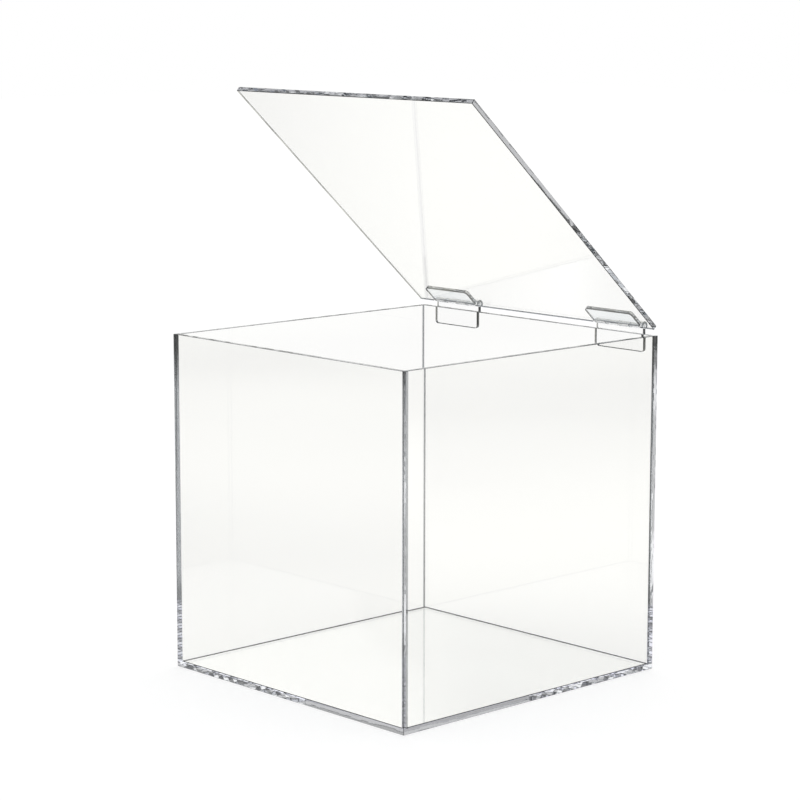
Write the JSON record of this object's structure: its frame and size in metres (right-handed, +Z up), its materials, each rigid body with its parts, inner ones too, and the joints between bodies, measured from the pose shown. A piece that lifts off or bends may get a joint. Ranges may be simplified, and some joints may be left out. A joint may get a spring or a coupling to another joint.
{
  "type": "hinged storage box",
  "caption": "Clear cube box of flat glued sheet with a flat lid that swings on moulded butt hinges along the top of its back wall.",
  "frame": {"origin": "centre of the underside of the floor panel, on the surface that the box stands on", "axes": "+Z up, +Y towards the hinged back wall, +X to the right when the box is seen from its front"},
  "size_m": [0.2032, 0.2151, 0.3528],
  "materials": {
    "clear_sheet": "clear cast acrylic sheet, polished faces and edges",
    "clear_moulding": "clear injection-moulded acrylic, glossy",
    "clear_pin": "clear plastic rod, smooth"
  },
  "bodies": {
    "box": {"floor_panel": "clear_sheet", "front_wall": "clear_sheet", "back_wall": "clear_sheet", "left_wall": "clear_sheet", "right_wall": "clear_sheet", "left_hinge_wall_leaf": "clear_moulding", "left_hinge_pin": "clear_pin", "right_hinge_wall_leaf": "clear_moulding", "right_hinge_pin": "clear_pin"},
    "lid": {"lid_panel": "clear_sheet", "left_hinge_lid_leaf": "clear_moulding", "right_hinge_lid_leaf": "clear_moulding"}
  },
  "joints": [
    {"name": "lid_hinge", "type": "hinge", "parent": "box", "child": "lid", "pos_m": [0, 0.10758, 0.21245], "axis": [-1, 0, 0], "range_deg": [-42.2, 225.8]}
  ]
}
